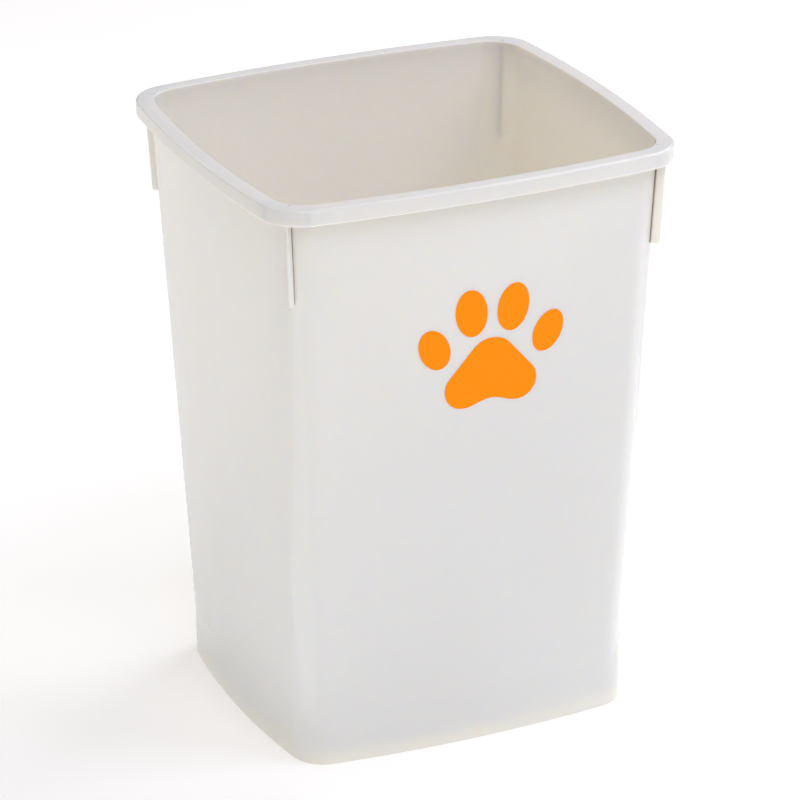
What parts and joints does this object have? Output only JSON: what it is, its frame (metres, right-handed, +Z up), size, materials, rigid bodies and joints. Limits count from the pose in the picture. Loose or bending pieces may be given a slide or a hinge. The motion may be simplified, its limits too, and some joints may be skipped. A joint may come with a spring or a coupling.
{
  "type": "pet waste bin",
  "caption": "Open tapered waste bin with bowed sides, a turned-down rim, corner stacking fins and a film paw emblem on the front.",
  "frame": {"origin": "middle of the face that the bin stands on", "axes": "+Z up through the open mouth, -Y out of the front wall that carries the emblem, +X to the right seen from the front"},
  "size_m": [0.334, 0.3058, 0.45],
  "materials": {
    "bin_plastic": "glossy pearl-white moulded polypropylene",
    "emblem_film": "glossy orange self-adhesive film"
  },
  "bodies": {
    "root": {"bin_body": "bin_plastic", "emblem_pad": "emblem_film", "emblem_toe_outer_left": "emblem_film", "emblem_toe_inner_left": "emblem_film", "emblem_toe_inner_right": "emblem_film", "emblem_toe_outer_right": "emblem_film"}
  },
  "joints": []
}
